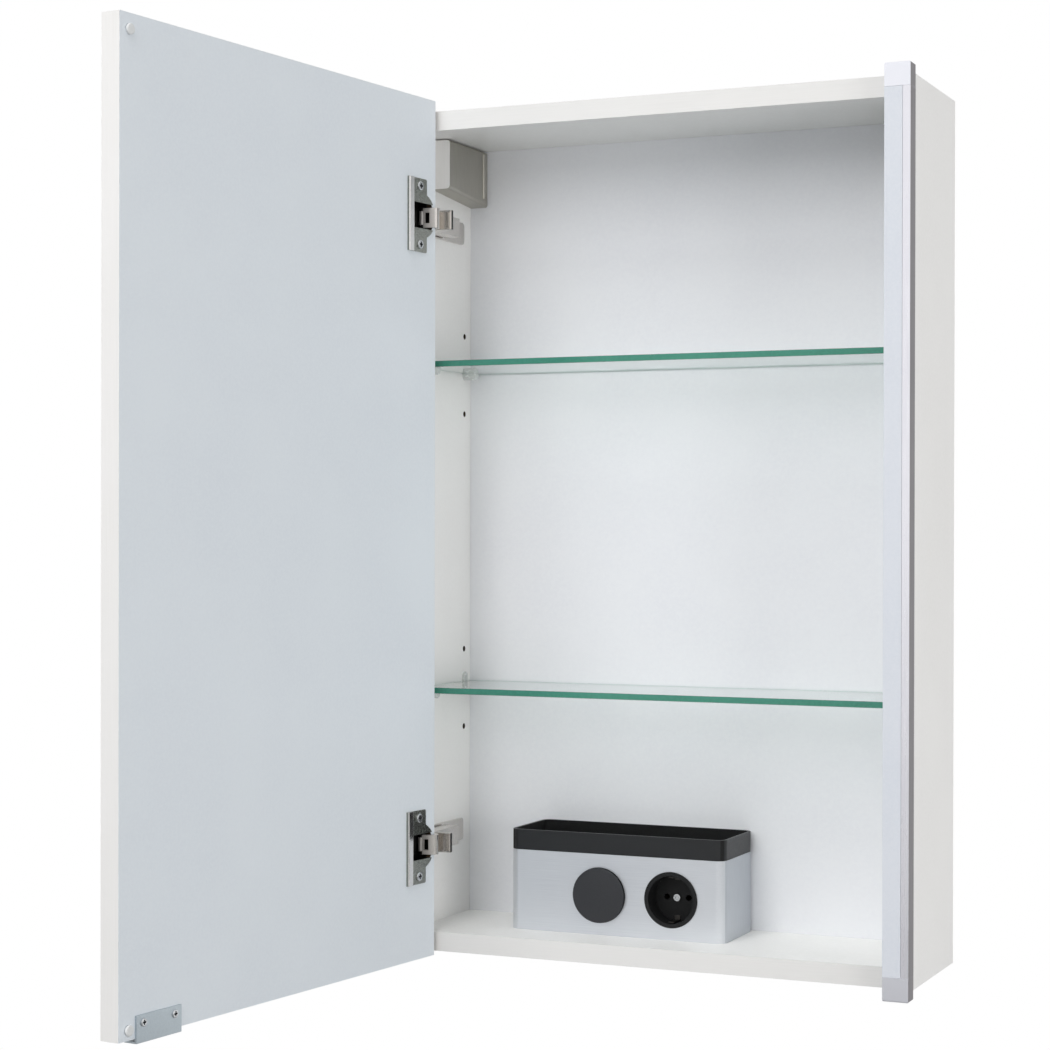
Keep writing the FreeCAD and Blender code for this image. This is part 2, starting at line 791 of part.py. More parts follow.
def cover_prism(x, y, wall):
    """Return the space of a cover, drawn in by a wall: its floor falls towards the back."""
    top = hang_height + cover_rise - wall
    floor = [hang_height - drop + wall for drop in (cover_drop_front, cover_drop_rear)]
    fall = (floor[1] - floor[0]) / (cover_y[1] - cover_y[0])
    low = [floor[0] + fall * (end - cover_y[0]) for end in y]
    corners = [(y[0], top), (y[1], top), (y[1], low[1]), (y[0], low[0])]
    points = [vec(x[0], *corner) for corner in corners + corners[:1]]
    return Part.Face(Part.makePolygon(points)).extrude(vec(x[1] - x[0], 0, 0))


def hanger_cover(side):
    """Return the cap over a hanger, open towards the panel and the back."""
    cap = cover_prism(on_side(cover_x, side), cover_y, 0)
    edges = [e for e in cap.Edges if abs(abs(e.CenterOfMass.x) - cover_x[0]) < 0.1]
    cap = cap.makeFillet(cover_round, [e for e in edges if e.CenterOfMass.y > cover_y[0] + 1])
    inside_x = on_side((cover_x[0] + cover_wall, inner_x + 1), side)
    inside_y = (cover_y[0] + cover_wall, cover_y[1] + 1)
    bead_x = side * (cover_x[0] + 0.9)
    ends = (hang_height - cover_drop_front, hang_height + cover_rise - cover_round)
    bead = rod((bead_x, cover_bead_y, ends[0]), (bead_x, cover_bead_y, ends[1]), cover_bead_r)
    return cap.fuse(bead).cut(cover_prism(inside_x, inside_y, cover_wall)).removeSplitter()


def wall_plate(side):
    """Return the plate on the wall with two screw holes and a bar for the hook."""
    sheet = box(on_side((186.0, 206.0), side), (-2.5, 0), (hang_height - 20, hang_height + 20))
    window = box(on_side((192.0, 204.0), side), (-3, 1), (hang_height - 7, hang_height + 7))
    bar = box(on_side((189.0, 206.0), side), (-5, -2.5), (hang_height - 9, hang_height - 1))
    holes = [wall_hole(side, k) for k in (-1, 1)]
    return sheet.cut([window] + holes).fuse(bar).removeSplitter()


def wall_hole(side, level):
    """Return the hole for one wall screw."""
    z = hang_height + level * wall_hole_half
    return rod((side * hanger_x, -10, z), (side * hanger_x, 5, z), wall_hole_r)


def make_hangers():
    """Write the hangers in both upper corners and their wall plates."""
    for name, side in (("left", -1), ("right", 1)):
        save("hanger_body_" + name, [hanger_body(side)])
        save("hanger_hook_" + name, [hanger_hook(side)])
        save("hanger_cover_" + name, [hanger_cover(side)])
        save("wall_plate_" + name, [wall_plate(side)])
    save("hanger_adjusting_screws", hanger_screws(-1) + hanger_screws(1))


os.makedirs("parts", exist_ok=True)
make_carcass()
make_shelves()
make_hinges()
make_door()
make_lamps()
make_socket_box()
make_hangers()
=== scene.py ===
import json
import logging
import math
from collections.abc import Callable
from dataclasses import dataclass, field
from enum import Enum

import bmesh
import bpy
import numpy as np
from mathutils import Matrix, Vector


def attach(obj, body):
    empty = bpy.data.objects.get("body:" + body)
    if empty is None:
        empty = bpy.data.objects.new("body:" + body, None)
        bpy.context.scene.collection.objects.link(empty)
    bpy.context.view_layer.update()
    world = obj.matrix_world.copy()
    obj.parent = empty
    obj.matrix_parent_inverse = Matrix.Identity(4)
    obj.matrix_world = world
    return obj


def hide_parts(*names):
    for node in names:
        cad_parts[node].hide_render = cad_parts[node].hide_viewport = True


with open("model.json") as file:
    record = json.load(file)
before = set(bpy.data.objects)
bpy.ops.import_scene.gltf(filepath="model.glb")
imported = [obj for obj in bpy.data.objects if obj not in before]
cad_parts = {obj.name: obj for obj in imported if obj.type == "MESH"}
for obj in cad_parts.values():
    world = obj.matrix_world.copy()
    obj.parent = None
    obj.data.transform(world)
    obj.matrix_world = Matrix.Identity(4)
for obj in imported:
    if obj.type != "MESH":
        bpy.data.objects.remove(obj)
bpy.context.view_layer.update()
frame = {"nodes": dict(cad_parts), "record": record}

MM = 0.001
LOG = logging.getLogger("mirror_cabinet")

# A test that tells whether a face gets a finish.
FaceTest = Callable[[bpy.types.MeshPolygon], bool]

# Sockets of a colour mix, whose names several of its inputs share.
MIX_SHARE, MIX_FIRST, MIX_SECOND, MIX_RESULT = 0, 6, 7, 2

# Where most values of a noise lie, and where those of two noises multiplied lie.
NOISE_SPAN = (0.3, 0.7)
PRODUCT_SPAN = (0.12, 0.40)

# Mesh work: corners that are one point, faces that are one plane, edges that are
# eased and edges that stay sharp to the light.
WELD_MM = 0.002
PLANE_ANGLE = math.radians(0.4)
EASED_ANGLE = math.radians(40)
SHARP_ANGLE = math.radians(35)
EASED_FACES = 2

# A screw: share of the head's radius where its rim begins, share that the drive recess with its painted
# shade takes up, and the depth below the head's top in which the recess lies.
RIM_SHARE = 0.9
RECESS_SHARE = 0.6
RECESS_MM = (0.1, 1.3)

WHITE = (1.0, 1.0, 1.0, 1.0)


class Axis(Enum):
    """A direction in which a finish is brushed, level or upright."""

    X = 0
    Z = 2


class Side(Enum):
    """The left or the right half of the cabinet, seen from the front."""

    LEFT = "left"
    RIGHT = "right"


class Level(Enum):
    """The upper or the lower one of a pair."""

    UPPER = "upper"
    LOWER = "lower"


def linear(code: str) -> tuple[float, float, float, float]:
    """Turn an sRGB hex colour into linear light.

    Args:
        code: the colour as "#rrggbb".

    Returns:
        Red, green, blue and an alpha of 1.
    """
    parts = [int(code[i : i + 2], 16) / 255 for i in (1, 3, 5)]
    light = [c / 12.92 if c <= 0.04045 else ((c + 0.055) / 1.055) ** 2.4 for c in parts]
    return (*light, 1.0)


def add_node(
    tree: bpy.types.NodeTree, kind: str, inputs: dict[str | int, object] | None = None, **settings: object
) -> bpy.types.Node:
    """Add a node with its settings, its input values and its links.

    Args:
        tree: the node tree to add to.
        kind: the node's type name.
        inputs: for a socket's name or number, a value or another node's output socket.
        settings: the node's own properties.

    Returns:
        The new node.
    """
    node = tree.nodes.new(kind)
    for name, value in settings.items():
        setattr(node, name, value)
    for key, value in (inputs or {}).items():
        if isinstance(value, bpy.types.NodeSocket):
            tree.links.new(value, node.inputs[key])
        else:
            node.inputs[key].default_value = value
    return node


@dataclass(frozen=True)
class Finish:
    """A real material with a fine, uneven surface.

    The colour drifts between two close tones, and the grain lifts the surface
    and changes its gloss. A brushed finish has its grain drawn out along an axis.

    Attributes:
        name: the material's name.
        colour: the main tone.
        second: the tone that it drifts to.
        roughness: the middle roughness.
        grain_mm: size of the grain.
        relief_mm: height of the grain.
        drift_mm: size of the slow colour drift.
        uneven: how much the roughness changes with the grain.
        metallic: 1 for bare metal, less for paint with flakes or for tarnish.
        ior: how strongly a material that isn't metal bends light.
        brushed: the direction of the brushed lines, if there are any.
        stretch: how many times longer than wide a brushed grain is.
        subsurface: share of light that soaks in and comes out again.
        soak_mm: how far that light travels inside.
        clear: share of light that goes through.
        lets_light: how much of the light behind it reaches what stands in its shadow.
    """

    name: str
    colour: str
    second: str
    roughness: float
    grain_mm: float
    relief_mm: float = 0.0
    drift_mm: float = 90.0
    uneven: float = 0.06
    metallic: float = 0.0
    ior: float = 1.5
    brushed: Axis | None = None
    stretch: float = 40.0
    subsurface: float = 0.0
    soak_mm: float = 4.0
    clear: float = 0.0
    lets_light: float = 0.0

    def grain(self, tree: bpy.types.NodeTree) -> bpy.types.NodeSocket:
        """Add the fine grain, drawn out along the brushed axis.

        Args:
            tree: the material's node tree.

        Returns:
            The grain's height, from 0 to 1.
        """
        place = add_node(tree, "ShaderNodeTexCoord")
        scale = [1.0, 1.0, 1.0]
        if self.brushed:
            scale[self.brushed.value] = 1.0 / self.stretch
        spot = add_node(tree, "ShaderNodeMapping", {"Vector": place.outputs["Object"], "Scale": scale})
        noise = add_node(
            tree,
            "ShaderNodeTexNoise",
            {
                "Vector": spot.outputs[0],
                "Scale": 1.0 / (self.grain_mm * MM),
                "Detail": 3.0,
                "Roughness": 0.6,
            },
        )
        return noise.outputs[0]

    def tone(self, tree: bpy.types.NodeTree, grain: bpy.types.NodeSocket) -> bpy.types.NodeSocket:
        """Add the slow drift between the two tones, broken up by the grain.

        Args:
            tree: the material's node tree.
            grain: the grain's height.

        Returns:
            The colour.
        """
        place = add_node(tree, "ShaderNodeTexCoord")
        drift = add_node(
            tree,
            "ShaderNodeTexNoise",
            {"Vector": place.outputs["Object"], "Scale": 1.0 / (self.drift_mm * MM), "Detail": 2.0},
        )
        both = add_node(tree, "ShaderNodeMath", {0: drift.outputs[0], 1: grain}, operation="MULTIPLY")
        low, high = PRODUCT_SPAN
        share = add_node(
            tree, "ShaderNodeMapRange", {"Value": both.outputs[0], "From Min": low, "From Max": high}
        )
        mix = add_node(
            tree,
            "ShaderNodeMix",
            {MIX_SHARE: share.outputs[0], MIX_FIRST: linear(self.colour), MIX_SECOND: linear(self.second)},
            data_type="RGBA",
        )
        return mix.outputs[MIX_RESULT]

    def light_through(self, tree: bpy.types.NodeTree) -> bpy.types.NodeSocket:
        """Add the opacity that thins only the shadow of a clear piece.

        Args:
            tree: the material's node tree.

        Returns:
            The opacity.
        """
        path = add_node(tree, "ShaderNodeLightPath")
        rest = add_node(
            tree,
            "ShaderNodeMapRange",
            {"Value": path.outputs["Is Shadow Ray"], "To Min": 1.0, "To Max": 1.0 - self.lets_light},
        )
        return rest.outputs[0]

    def build(self) -> bpy.types.Material:
        """Make the material, once for each finish.

        Returns:
            The material.
        """
        known = bpy.data.materials.get(self.name)
        if known:
            return known
        material = bpy.data.materials.new(self.name)
        material.use_nodes = True
        tree = material.node_tree
        shader = tree.nodes["Principled BSDF"]
        grain = self.grain(tree)
        tree.links.new(self.tone(tree, grain), shader.inputs["Base Color"])
        gloss = add_node(
            tree,
            "ShaderNodeMapRange",
            {
                "Value": grain,
                "From Min": NOISE_SPAN[0],
                "From Max": NOISE_SPAN[1],
                "To Min": max(self.roughness - self.uneven, 0.01),
                "To Max": self.roughness + self.uneven,
            },
        )
        tree.links.new(gloss.outputs[0], shader.inputs["Roughness"])
        if self.relief_mm:
            bump = add_node(
                tree, "ShaderNodeBump", {"Height": grain, "Strength": 0.5, "Distance": self.relief_mm * MM}
            )
            tree.links.new(bump.outputs[0], shader.inputs["Normal"])
        if self.lets_light:
            tree.links.new(self.light_through(tree), shader.inputs["Alpha"])
        shader.inputs["Metallic"].default_value = self.metallic
        shader.inputs["IOR"].default_value = self.ior
        shader.inputs["Subsurface Weight"].default_value = self.subsurface
        shader.inputs["Subsurface Radius"].default_value = [self.soak_mm * MM] * 3
        shader.inputs["Transmission Weight"].default_value = self.clear
        return material


# A grain finer than half a millimetre wouldn't show in the picture. The grain of paint,
# plate and moulded plastic is finer, so it is drawn at half a millimetre or more.

# Chipboard faced with white melamine paper, pressed between pearl-grained plates: an
# even satin white with a faint orange peel. The real grain is about 0.5 mm and is drawn
# at 2.5 mm so that it shows.
WHITE_MELAMINE = Finish("melamine_white_pearl", "#f2f1ef", "#eeedeb", 0.42, 2.5, 0.05)

# The raw core of the same board inside grooves and pin holes: brown chips, no shine, darkened nearly to
# black as painted shade in the holes.
CHIPBOARD_CORE_IN_PAINTED_SHADE = Finish("chipboard_core_painted_shade", "#4d3f30", "#33291f", 0.9, 2.0, 0.2, drift_mm=8.0)

# Hardboard with white lacquer, rolled on: flatter and a little cooler than melamine.
WHITE_HARDBOARD = Finish("hardboard_white_lacquer", "#edeef1", "#e9eaee", 0.5, 3.0, 0.04)

# Extruded ABS edge band, glued on and scraped flush: satin white with lines along it.
WHITE_BAND = Finish("abs_edge_band_white", "#efeeed", "#ebeae8", 0.4, 1.2, 0.02, ior=1.53, brushed=Axis.Z)

# Paper edge band of the carcass, ironed on: a little greyer than the boards, a white band toned down as
# painted shade on front edges that face the lamps.
EDGE_BAND_PAINTED_SHADE = Finish("paper_edge_band_painted_shade", "#e4e3e1", "#e0dfdd", 0.45, 1.2, 0.02, brushed=Axis.X)

# Melamine in a pale blue grey, pressed matte: it hides the light's reflection.
GREY_MELAMINE = Finish("melamine_pale_blue_grey", "#e1e7ec", "#dde3e9", 0.6, 2.5, 0.05)

# Silvered float glass: a nearly perfect mirror, a touch green.
SILVERED_GLASS = Finish(
    "silvered_float_glass", "#eef3f1", "#ebf1ef", 0.02, 200.0, metallic=1.0, uneven=0.005
)

# Pressed steel with bright nickel plate: sharp reflections, slightly warm, a little wavy.
BRIGHT_NICKEL = Finish(
    "bright_nickel_plate", "#dbd7d2", "#cbc7c2", 0.16, 1.5, 0.03, metallic=1.0, uneven=0.05
)

# The flat of the hinge flange: nickel painted a darker, greenish grey, a painted reflection of the shaded
# inside of the cabinet.
NICKEL_PAINTED_DARK_REFLECTION = Finish("nickel_plate_painted_dark_reflection", "#a3a59e", "#92958e", 0.26, 1.5, 0.02, metallic=1.0)

# The rib of the flange: nickel painted near white as a highlight, the brightest metal on the hinge.
NICKEL_PAINTED_HIGHLIGHT = Finish("nickel_plate_painted_highlight", "#f3f2f0", "#eae8e6", 0.12, 1.5, metallic=1.0, uneven=0.03)

# The link of the hook, barrel plated and never polished: satin, the black cup barely shows in it.
BARREL_NICKEL = Finish("barrel_nickel_plate", "#dedad6", "#d2cec9", 0.46, 1.2, metallic=0.6)

# Deep-drawn steel, black: grease on the pins and springs, painted shade inside the hinge cup and on the
# right side of an arm's head.
GREASE_AND_PAINTED_SHADE = Finish("greased_steel_and_painted_shade", "#1c1b1a", "#121111", 0.35, 2.0, 0.02, metallic=0.6)

# Zinc-plated steel screws: bright and bluish.
BRIGHT_ZINC = Finish("bright_zinc_plate", "#d6d8da", "#c6c9cc", 0.2, 0.8, 0.02, metallic=1.0)

# The drive recess of a screw, punched: nearly black as painted shade.
RECESS_PAINTED_SHADE = Finish("screw_recess_painted_shade", "#23242a", "#18191d", 0.4, 0.8, metallic=0.5)

# Bent steel sheet, zinc plated and passivated: satin blue grey.
SATIN_ZINC = Finish("satin_zinc_sheet", "#c1cbd1", "#b7c1c8", 0.34, 1.2, 0.01, metallic=1.0)

# Pressed steel cover with satin nickel: brushed upright, warm grey, darker where it turns away.
SATIN_NICKEL = Finish(
    "satin_nickel_plate", "#bcb9b0", "#b2afa6", 0.36, 0.6, 0.01,
    metallic=1.0, brushed=Axis.Z, stretch=30.0,
)

# The cover's front, painted nearly white with a little metal: a painted reflection of the bright room in
# front, lighter than the satin nickel of its sides.
COVER_FRONT_PAINTED_REFLECTION = Finish(
    "cover_front_painted_reflection", "#f7f6f4", "#f2f1ef", 0.5, 0.6, metallic=0.25, brushed=Axis.Z
)

# Extruded aluminium, etched and clear anodised: silvery, with fine lines along the lamp.
ANODISED_UPRIGHT = Finish(
    "anodised_aluminium_upright", "#f0eff5", "#e7e6ed", 0.3, 0.5, 0.01,
    metallic=1.0, brushed=Axis.Z, stretch=80.0,
)

# The outer side of the lamp: the same aluminium painted dark grey as shade, a dark line beside the white
# panel.
ALUMINIUM_PAINTED_SHADE = Finish(
    "anodised_aluminium_painted_shade", "#747174", "#6a676b", 0.4, 0.5, 0.01,
    metallic=1.0, brushed=Axis.Z, stretch=80.0,
)

# The same aluminium, brushed along the socket box and anodised in a pale silver.
ANODISED_LEVEL = Finish(
    "anodised_aluminium_level", "#eaedf1", "#e2e5ea", 0.5, 0.5, 0.008,
    metallic=1.0, brushed=Axis.X, stretch=80.0,
)

# The ends of the socket box, where the brushed lines run across the bend, in a darker tone that is painted
# shade.
ALUMINIUM_END_PAINTED_SHADE = Finish(
    "anodised_aluminium_end_painted_shade", "#cdd1d6", "#c5c9ce", 0.5, 0.5, 0.008,
    metallic=1.0, brushed=Axis.Z,
)

# Opal acrylic with a frosted face: light soaks in, no clear reflection.
OPAL_ACRYLIC = Finish(
    "opal_acrylic_frosted", "#d8dbe1", "#d3d7de", 0.55, 2.0, 0.01, ior=1.49, subsurface=0.4
)

# ABS end caps in silver paint: fine metal flakes, even satin.
SILVER_ABS = Finish("abs_silver_paint", "#f2f3f9", "#e9eaf2", 0.22, 0.6, 0.004, metallic=0.9)

# Moulded black ABS with a spark-eroded grain: charcoal where it catches light.
BLACK_ABS = Finish("abs_black_fine_grain", "#141619", "#0f1113", 0.42, 0.9, 0.02, ior=1.53, uneven=0.08)

# The push button in a slightly greyer ABS, polished a little by fingers.
CHARCOAL_ABS = Finish(
    "abs_charcoal_fine_grain", "#2b2c31", "#252629", 0.42, 0.9, 0.02, ior=1.53, uneven=0.08
)

# Black ABS in the tray and in the socket, made deeper black as painted shade where no light reaches.
BLACK_ABS_PAINTED_SHADE = Finish("abs_black_painted_shade", "#070809", "#050506", 0.7, 0.9, 0.02, ior=1.5)

# Moulded clear polycarbonate: milky where it is thick, with bright edges.
CLEAR_POLYCARBONATE = Finish(
    "polycarbonate_clear", "#f2f5f3", "#edf1ef", 0.25, 4.0,
    ior=1.585, uneven=0.04, clear=0.3, lets_light=0.75,
)

# Cast silicone bumpers: soft and milky, with one broad highlight.
MILKY_SILICONE = Finish("silicone_milky", "#dedfdf", "#d8dada", 0.4, 3.0, ior=1.41, subsurface=0.3)

# Float glass, seen through its polished faces: clear with a trace of green.
CLEAR_GLASS = Finish(
    "float_glass_face", "#eff9f5", "#edf7f3", 0.012, 200.0,
    ior=1.52, uneven=0.004, clear=1.0, lets_light=0.56,
)

# The ground edge of float glass: light has run through its length and is deep green.
GREEN_EDGE = Finish("float_glass_edge", "#479681", "#3a8873", 0.12, 3.0, ior=1.52, uneven=0.03, clear=0.3)

# Cast zinc, tumbled: dull grey with a fine pebbled skin.
CAST_ZINC = Finish("zinc_casting_tumbled", "#a9abad", "#9b9d9f", 0.48, 1.2, 0.03, metallic=1.0)

# Hot-dip galvanised sheet: flat grey with spangles about 8 mm across.
GALVANISED = Finish("galvanised_sheet", "#b6babd", "#a2a7aa", 0.42, 8.0, 0.01, metallic=1.0, drift_mm=20.0)

# Turned beech dowels: pale brown with short flecks along the grain.
BEECH = Finish("beech_turned", "#c79a6b", "#b3865a", 0.6, 0.8, 0.03, brushed=Axis.X, stretch=12.0)

# Rolled brass strip, tarnished: brown, a little dull.
BRASS = Finish("brass_tarnished", "#4a3c22", "#3a2f1b", 0.45, 1.0, 0.01, metallic=1.0)

# Sprung bronze strip of the earth clips, dull.
DULL_BRONZE = Finish("bronze_strip_dull", "#4c4a47", "#3d3b39", 0.35, 1.0, 0.01, metallic=1.0)

# Moulded rubber: black, soft, no shine.
RUBBER = Finish("rubber_moulded_black", "#1b1b1b", "#151515", 0.8, 1.2, 0.03, ior=1.52)

# White solder mask on the diode strip: glossy white, slightly warm.
DIODE_STRIP = Finish("solder_mask_white", "#f1efe6", "#e6e3d8", 0.3, 2.0, 0.01, ior=1.55)

# White flame-proof polycarbonate housing: matte, fine grain.
WHITE_HOUSING = Finish("polycarbonate_white_grain", "#ececec", "#e4e4e4", 0.5, 1.0, 0.02, ior=1.585)


def body_of(node: str) -> str:
    """Find the body that a CAD node rides on.

    Args:
        node: the node's name.

    Returns:
        The body's name.
    """
    bodies = frame["record"]["behaviour"]["bodies"]
    return next(body for body, nodes in bodies.items() if node in nodes)


def door_hinge() -> dict[str, object]:
    """Find the door's hinge among the record's joints."""
    return next(j for j in frame["record"]["behaviour"]["joints"] if j["name"] == "door_hinge")


def door_normal() -> Vector:
    """Work out where the inner face of the open door looks.

    Returns:
        The unit vector out of that face.
    """
    swing = math.radians(door_hinge()["range_deg"][1])
    return Vector((math.sin(swing), math.cos(swing), 0.0))


def hinge_pin() -> Vector:
    """Return a point on the door's axis."""
    return Vector(door_hinge()["pos_m"])


def eased_copy(node: str, ease_mm: float) -> bpy.types.Object:
    """Make a piece that stands for a CAD node, with its sharp edges eased.

    Args:
        node: the CAD node.
        ease_mm: how far the edges are rounded over, or 0 to leave them sharp.

    Returns:
        The new piece, riding on the node's body.
    """
    mesh = frame["nodes"][node].data.copy()
    shape = bmesh.new()
    shape.from_mesh(mesh)
    if ease_mm:
        ease(shape, ease_mm)
    shape.to_mesh(mesh)
    shape.free()
    custom = mesh.attributes.get("custom_normal")
    if custom:
        mesh.attributes.remove(custom)
    mesh.shade_smooth()
    mesh.set_sharp_from_angle(angle=SHARP_ANGLE)
    piece = bpy.data.objects.new(f"{node}_finished", mesh)
    bpy.context.scene.collection.objects.link(piece)
    flats = piece.modifiers.new("flat_faces_stay_flat", "WEIGHTED_NORMAL")
    flats.keep_sharp = True
    flats.weight = 90
    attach(piece, body_of(node))
    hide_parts(node)
    return piece


def ease(shape: bmesh.types.BMesh, ease_mm: float) -> None:
    """Round over the sharp edges of a mesh.

    Args:
        shape: the mesh.
        ease_mm: how far the edges are rounded over.
    """
    bmesh.ops.remove_doubles(shape, verts=shape.verts, dist=WELD_MM * MM)
    bmesh.ops.dissolve_limit(
        shape, angle_limit=PLANE_ANGLE, verts=shape.verts, edges=shape.edges, delimit={"NORMAL"}
    )
    sharp = [e for e in shape.edges if len(e.link_faces) == 2 and e.calc_face_angle() > EASED_ANGLE]
    bmesh.ops.bevel(
        shape,
        geom=sharp,
        offset=ease_mm * MM,
        segments=EASED_FACES,
        profile=0.5,
        affect="EDGES",
        clamp_overlap=True,
        loop_slide=True,
    )


def dress(piece: bpy.types.Object, finish: Finish) -> None:
    """Give a whole piece one finish.

    Args:
        piece: the piece.
        finish: the finish.
    """
    piece.data.materials.clear()
    piece.data.materials.append(finish.build())
    for face in piece.data.polygons:
        face.material_index = 0


def dress_faces(piece: bpy.types.Object, finish: Finish, chosen: FaceTest) -> None:
    """Give some faces of a piece a finish of their own.

    Args:
        piece: the piece.
        finish: the finish.
        chosen: the test for those faces.
    """
    piece.data.materials.append(finish.build())
    index = len(piece.data.materials) - 1
    for face in piece.data.polygons:
        if chosen(face):
            face.material_index = index


def inside(piece: bpy.types.Object, margin_mm: float) -> FaceTest:
    """Make a test for faces that lie inside the outline of a piece.

    Args:
        piece: the piece.
        margin_mm: how far inside its box a face has to be.

    Returns:
        The test.
    """
    points = np.array([v.co for v in piece.data.vertices])
    low = points.min(axis=0) + margin_mm * MM
    high = points.max(axis=0) - margin_mm * MM
    return lambda face: all(low[i] < face.center[i] < high[i] for i in range(3))


def islands(mesh: bpy.types.Mesh) -> list[list[int]]:
    """Sort the faces of a mesh into solids that hang together.

    Args:
        mesh: the mesh.

    Returns:
        The face numbers of each solid.
    """
    shape = bmesh.new()
    shape.from_mesh(mesh)
    left = set(shape.faces)
    found = []
    while left:
        front = [left.pop()]
        group = []
        while front:
            face = front.pop()
            group.append(face.index)
            near = {f for e in face.edges for f in e.link_faces} & left
            left -= near
            front.extend(near)
        found.append(group)
    shape.free()
    return found


def paint_recess_shade(piece: bpy.types.Object) -> None:
    """Paint shade into the drive recess of each screw in a piece.

    The axis of a screw is its longest direction, and its head is the wide end.

    Args:
        piece: the screws.
    """
    mesh = piece.data
    mesh.materials.append(RECESS_PAINTED_SHADE.build())
    top, bottom = (depth * MM for depth in RECESS_MM)
    for group in islands(mesh):
        corners = np.array([mesh.vertices[v].co for f in group for v in mesh.polygons[f].vertices])
        middle = corners.mean(axis=0)
        axis = np.linalg.svd(corners - middle, full_matrices=False)[2][0]
        along = (corners - middle) @ axis
        wide = np.linalg.norm(corners - middle - np.outer(along, axis), axis=1)
        if along[wide > RIM_SHARE * wide.max()].mean() < 0:
            axis, along = -axis, -along
        for f in group:
            centre = np.array(mesh.polygons[f].center) - middle
            depth = along.max() - centre @ axis
            off = np.linalg.norm(centre - (centre @ axis) * axis)
            if top < depth < bottom and off < RECESS_SHARE * wide.max():
                mesh.polygons[f].material_index = 1


@dataclass
class SubAssembly:
    """A group of nodes that belong together.

    Attributes:
        ease_mm: how far the edges of its pieces are rounded over.
        screw_ease_mm: the same for its screws.
    """

    ease_mm: float = 0.3
    screw_ease_mm: float = 0.12

    def finishes(self) -> dict[str, Finish]:
        """Return the finish of each node."""
        return {}

    def build(self) -> None:
        """Make a piece for each node and dress it."""
        for node, finish in self.finishes().items():
            piece = eased_copy(node, self.ease_of(node))
            dress(piece, finish)
            self.detail(node, piece)
            if node.endswith("screws"):
                # Painted shade in the screw recesses.
                paint_recess_shade(piece)
            LOG.info("%s: %d faces, %s", piece.name, len(piece.data.polygons), finish.name)

    def ease_of(self, node: str) -> float:
        """Return how far a node's edges are rounded over, in millimetres."""
        return self.screw_ease_mm if node.endswith("screws") else self.ease_mm

    def detail(self, node: str, piece: bpy.types.Object) -> None:
        """Add what one node's piece needs beyond its finish."""


@dataclass
class Carcass(SubAssembly):
    """Boards, back panel and edge bands.

    Attributes:
        boards: the nodes with a raw core in their holes and grooves, darkened there as painted shade.
        skin_mm: how far below the outside of a board its core begins.
    """

    ease_mm: float = 0.25
    skin_mm: float = 0.6
    boards: tuple[str, ...] = ("side_panel_left", "side_panel_right", "top_panel", "bottom_panel")

    def finishes(self) -> dict[str, Finish]:
        """List the finishes.

        Returns:
            The finish of each node.
        """
        found = dict.fromkeys(self.boards, WHITE_MELAMINE)
        found["back_panel"] = WHITE_HARDBOARD
        # The carcass band's grey is partly painted shade.
        found["carcass_edging"] = EDGE_BAND_PAINTED_SHADE
        found["carcass_dowels"] = BEECH
        found["cable_grommet"] = RUBBER
        return found

    def ease_of(self, node: str) -> float:
        """Leave the bands sharp, because they butt against each other."""
        return 0.0 if node == "carcass_edging" else self.ease_mm

    def detail(self, node: str, piece: bpy.types.Object) -> None:
        """Show the raw core inside the holes of the boards, darkened as painted shade."""
        if node in self.boards:
            # Painted shade: the core in the holes is darkened nearly to black.
            dress_faces(piece, CHIPBOARD_CORE_IN_PAINTED_SHADE, inside(piece, self.skin_mm))


@dataclass
class Shelves(SubAssembly):
    """Glass shelves and their clips.

    Attributes:
        edge_slope: faces steeper than this are ground edges.
    """

    ease_mm: float = 0.35
    edge_slope: float = 0.5

    def finishes(self) -> dict[str, Finish]:
        """List the finishes.

        Returns:
            The finish of each node.
        """
        found = {}
        for level in Level:
            found[f"glass_shelf_{level.value}"] = CLEAR_GLASS
            found[f"shelf_supports_{level.value}"] = CLEAR_POLYCARBONATE
        return found

    def detail(self, node: str, piece: bpy.types.Object) -> None:
        """Give the upright faces of the glass their green."""
        if node.startswith("glass"):
            dress_faces(piece, GREEN_EDGE, lambda face: abs(face.normal.z) < self.edge_slope)


@dataclass
class Door(SubAssembly):
    """Door board, mirror, edging, bumpers and finger pull.

    Attributes:
        bumper_ease_mm: how far the bumpers are rounded over.
        inner_cosine: how squarely a face of the inner side looks out of it.
        bore_cosine: how nearly upright to it the walls of the bores stand.
    """

    bumper_ease_mm: float = 1.2
    inner_cosine: float = 0.9
    bore_cosine: float = 0.1

    def finishes(self) -> dict[str, Finish]:
        """List the finishes.

        Returns:
            The finish of each node.
        """
        return {
            "door_board": GREY_MELAMINE,
            "door_mirror": SILVERED_GLASS,
            "door_edging": WHITE_BAND,
            "door_bumpers": MILKY_SILICONE,
            "finger_pull": SATIN_ZINC,
            "finger_pull_screws": BRIGHT_ZINC,
        }

    def ease_of(self, node: str) -> float:
        """Return how far a node's edges are rounded over, in millimetres."""
        special = {"door_bumpers": self.bumper_ease_mm, "door_edging": 0.0}
        return special.get(node, super().ease_of(node))

    def detail(self, node: str, piece: bpy.types.Object) -> None:
        """Carry the grey of the inner face over the edging, and show the core, darkened as painted shade,
        in the bores.

        Args:
            node: the node.
            piece: its piece.
        """
        normal = door_normal()
        if node == "door_edging":
            dress_faces(piece, GREY_MELAMINE, lambda face: face.normal.dot(normal) > self.inner_cosine)
        if node == "door_board":
            # Painted shade: the core in the bores is darkened nearly to black.
            dress_faces(piece, CHIPBOARD_CORE_IN_PAINTED_SHADE, lambda face: abs(face.normal.dot(normal)) < self.bore_cosine)


